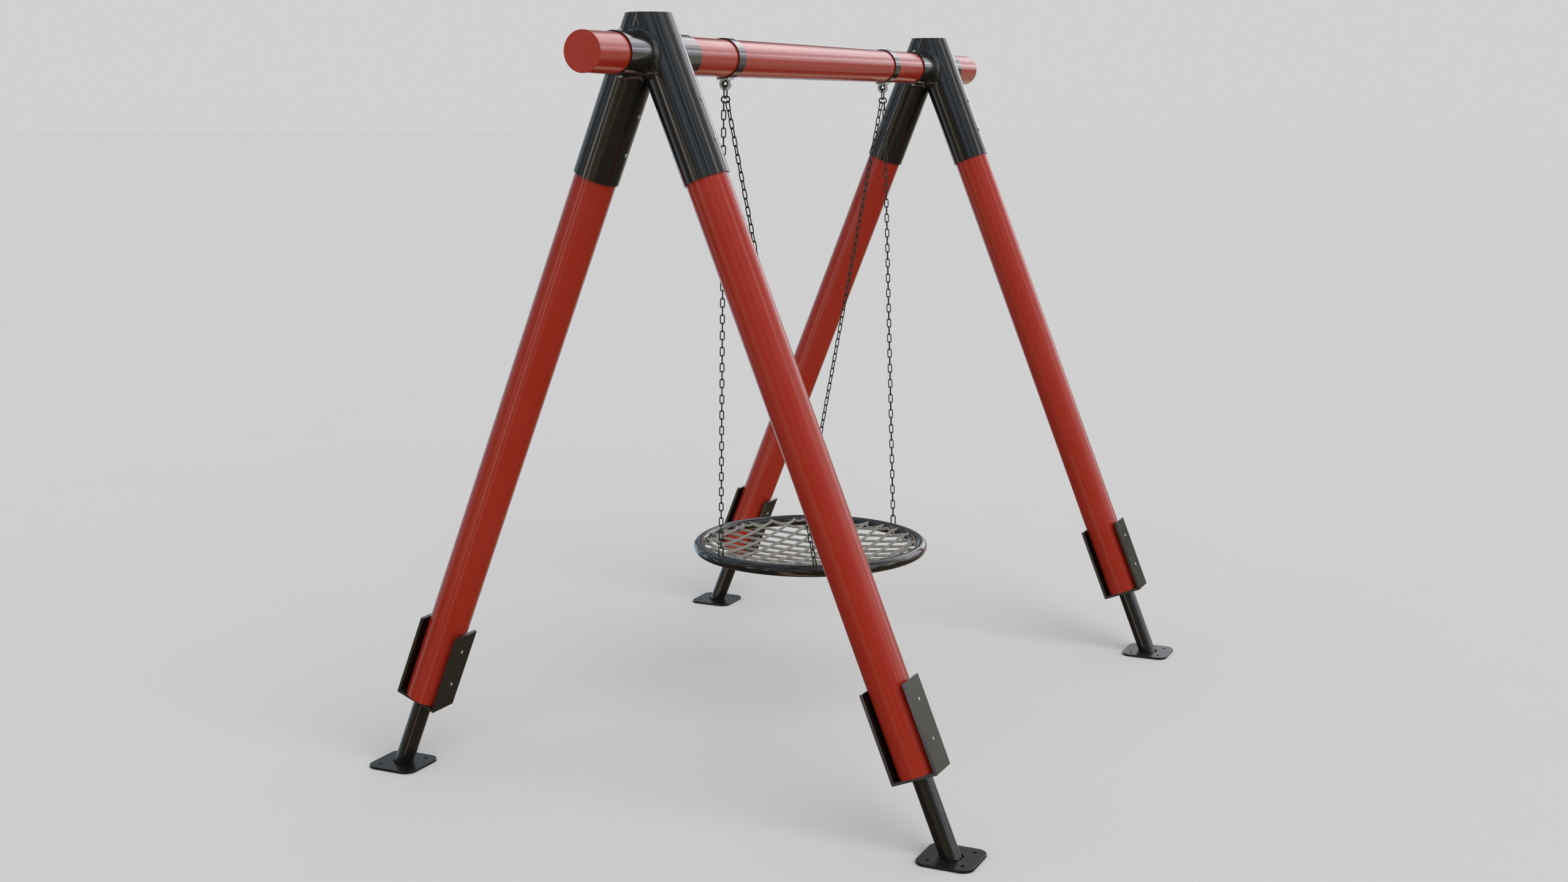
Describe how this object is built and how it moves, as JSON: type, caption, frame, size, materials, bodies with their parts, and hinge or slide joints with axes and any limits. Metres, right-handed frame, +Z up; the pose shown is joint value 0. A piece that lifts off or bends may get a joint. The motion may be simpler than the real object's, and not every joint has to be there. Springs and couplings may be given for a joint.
{
  "type": "nest swing",
  "caption": "free-standing nest swing: a round dished rope-net seat with a tubular rim, hung on chains below the beam of a tubular steel A-frame stand on square base plates",
  "frame": {"origin": "on the ground, at the underside of the base plates, below the middle of the beam", "axes": "+X along the beam, +Y across it towards the back legs, +Z up; left is -X, front is -Y"},
  "size_m": [3.87, 2.626, 3.014],
  "materials": {
    "red_paint": "glossy red powder coat",
    "black_paint": "glossy black powder coat",
    "grey_paint": "dark blue-grey coated plate",
    "zinc_steel": "zinc-coated steel",
    "chain_steel": "dark weathered zinc-coated chain",
    "nylon": "black nylon bush",
    "rope": "beige twisted rope"
  },
  "bodies": {
    "stand": {"base_plate_left_back": "grey_paint", "base_plate_left_front": "grey_paint", "base_plate_right_back": "grey_paint", "base_plate_right_front": "grey_paint", "beam": "red_paint", "beam_end_cap_left": "red_paint", "beam_end_cap_right": "red_paint", "bracket_screws": "zinc_steel", "collar_screws": "zinc_steel", "corner_connector_left": "black_paint", "corner_connector_right": "black_paint", "eye_bush_left": "nylon", "eye_bush_right": "nylon", "foot_pipe_left_back": "black_paint", "foot_pipe_left_front": "black_paint", "foot_pipe_right_back": "black_paint", "foot_pipe_right_front": "black_paint", "hanger_band_left": "black_paint", "hanger_band_right": "black_paint", "post_bracket_left_back": "black_paint", "post_bracket_left_front": "black_paint", "post_bracket_right_back": "black_paint", "post_bracket_right_front": "black_paint", "post_left_back": "red_paint", "post_left_front": "red_paint", "post_right_back": "red_paint", "post_right_front": "red_paint", "saddle_plate_left": "zinc_steel", "saddle_plate_right": "zinc_steel", "saddle_screws": "zinc_steel", "sleeve_screws": "zinc_steel", "swing_eye_left": "zinc_steel", "swing_eye_right": "zinc_steel"},
    "swing": {"chain_left_back": "chain_steel", "chain_left_front": "chain_steel", "chain_right_back": "chain_steel", "chain_right_front": "chain_steel", "connecting_ring_left": "chain_steel", "connecting_ring_right": "chain_steel", "hanger_link_left": "chain_steel", "hanger_link_right": "chain_steel", "net_lugs": "black_paint", "rim_eyes": "black_paint", "seat_net": "rope", "seat_rim": "black_paint"}
  },
  "joints": [
    {"name": "swing_hinge", "type": "hinge", "parent": "stand", "child": "swing", "pos_m": [0, 0, 2.76795], "axis": [1, 0, 0], "range_deg": [-60, 60]}
  ]
}
